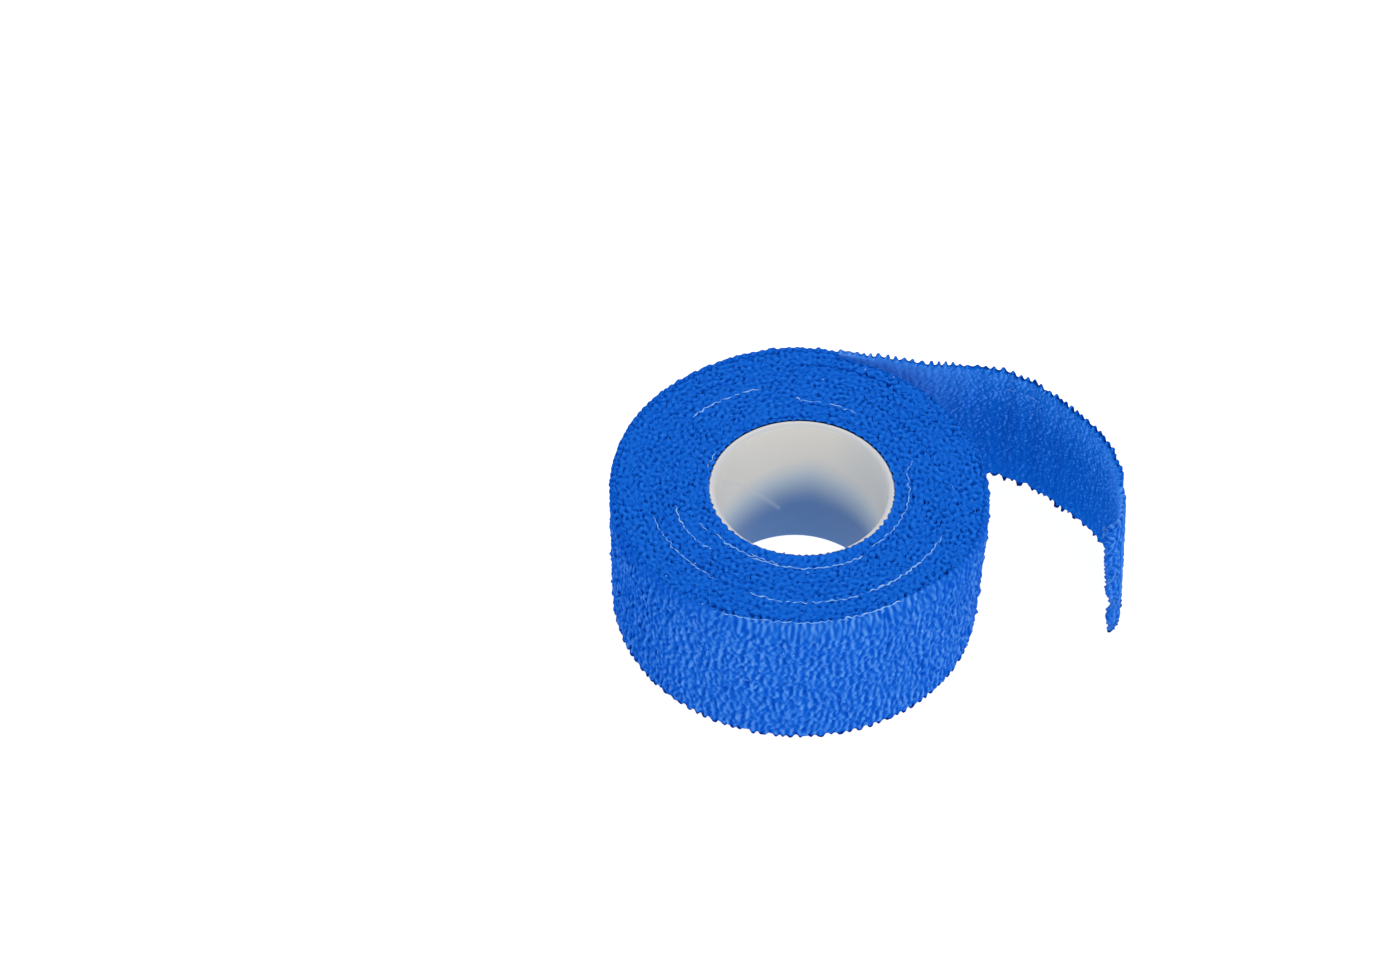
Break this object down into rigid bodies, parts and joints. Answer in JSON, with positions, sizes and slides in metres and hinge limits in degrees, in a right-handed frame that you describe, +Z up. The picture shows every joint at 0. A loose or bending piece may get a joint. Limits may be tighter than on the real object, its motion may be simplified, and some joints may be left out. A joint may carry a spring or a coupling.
{
  "type": "cohesive bandage roll",
  "caption": "Crinkled elastic cohesive bandage strip wound on a thin plastic tube, standing on one end, with its loose end unrolled, on edge and curling round.",
  "frame": {"origin": "middle of the whole object's footprint, on the surface that it stands on", "axes": "+Z up, along the roll's winding axis; +X from the roll towards the side where the loose end curls round; +Y towards the side where the loose end leaves the roll"},
  "size_m": [0.077, 0.0566, 0.0252],
  "materials": {
    "bandage": "matt crinkled elastic fabric, royal blue with paler raised threads and deeper blue hollows",
    "core": "smooth satin off-white plastic, slightly translucent"
  },
  "bodies": {
    "root": {"core_tube": "core", "wound_strip": "bandage", "loose_end": "bandage"}
  },
  "joints": []
}
